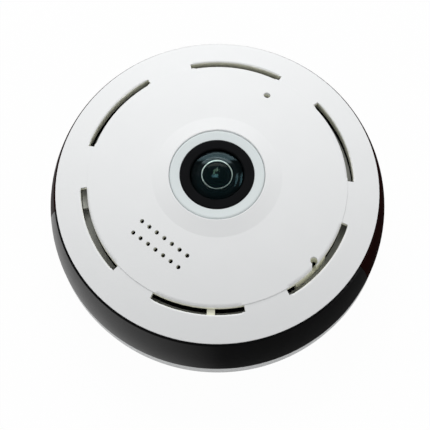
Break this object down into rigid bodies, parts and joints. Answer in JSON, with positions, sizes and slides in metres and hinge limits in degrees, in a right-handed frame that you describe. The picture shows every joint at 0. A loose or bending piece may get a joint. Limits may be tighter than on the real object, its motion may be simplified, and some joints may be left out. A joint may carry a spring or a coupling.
{
  "type": "fisheye ip camera",
  "caption": "Round ceiling camera with a fisheye lens in a domed, slotted white cover, black side band with dark infrared windows, and a twist-lock mounting bracket.",
  "frame": {"origin": "centre of the bracket's flat ceiling face", "axes": "+Z along the lens axis away from the ceiling, +Y towards the power inlet, +X to the right of the picture"},
  "size_m": [0.118, 0.1179, 0.0477],
  "materials": {
    "shell_white": "fine satin moulding",
    "trim_white": "polished",
    "band_black": "satin",
    "ring_grey": "matt moulding",
    "window_red": "polished, passes infrared",
    "lens_black": "fine satin",
    "lens_glass": "coated, polished",
    "filter_glass": "blue tint",
    "ring_metal": "turned, bright edge",
    "board_green": "solder mask",
    "chip_black": "moulded",
    "sensor_dark": "dark cover glass",
    "can_metal": "tinned sheet",
    "sink_metal": "anodised",
    "standoff_brass": "turned",
    "screw_steel": "zinc plated",
    "flex_amber": "polyimide film",
    "plug_white": "natural nylon",
    "wire_skin": "flexible insulation",
    "speaker_black": "frame and cone",
    "foam_black": "foam",
    "clear_epoxy": "clear resin"
  },
  "bodies": {
    "bracket": {"mount_bracket": "shell_white"},
    "camera": {"back_shell": "shell_white", "board_screws": "screw_steel", "board_standoffs": "standoff_brass", "capacitors": "sink_metal", "cover_screws": "screw_steel", "element_retainer": "ring_metal", "front_glass": "lens_glass", "heat_sink": "sink_metal", "holder_screws": "screw_steel", "image_sensor": "sensor_dark", "ir_cut_filter": "filter_glass", "ir_led_boards": "board_green", "ir_leds": "clear_epoxy", "ir_windows": "window_red", "lens_barrel": "lens_black", "lens_bezel": "lens_black", "lens_holder": "lens_black", "lens_trim_ring": "trim_white", "light_sensor": "clear_epoxy", "main_board": "board_green", "memory_chips": "chip_black", "mic_boot": "foam_black", "microphone": "can_metal", "microsd_socket": "can_metal", "plug_wires": "wire_skin", "power_coils": "chip_black", "processor": "chip_black", "rear_element": "lens_glass", "reset_switch": "chip_black", "ribbon_sockets": "plug_white", "second_element": "lens_glass", "sensor_board": "board_green", "sensor_ribbon": "flex_amber", "sensor_screws": "screw_steel", "side_band": "band_black", "speaker": "speaker_black", "speaker_gasket": "foam_black", "top_cover": "shell_white", "usb_socket": "can_metal", "vent_ring": "ring_grey", "wifi_antenna": "flex_amber", "wifi_module": "can_metal", "wire_plugs": "plug_white"},
    "reset_button": {"reset_button": "lens_black"}
  },
  "joints": [
    {"name": "camera_twist", "type": "hinge", "parent": "bracket", "child": "camera", "pos_m": [0, 0, 0], "axis": [0, 0, 1], "range_deg": [0, 18]},
    {"name": "reset_press", "type": "slide", "parent": "camera", "child": "reset_button", "axis": [0.2756, -0.9613, 0], "range_m": [0, 0.0004], "stiffness_N_per_m": 800, "springref_m": -0.0003}
  ]
}
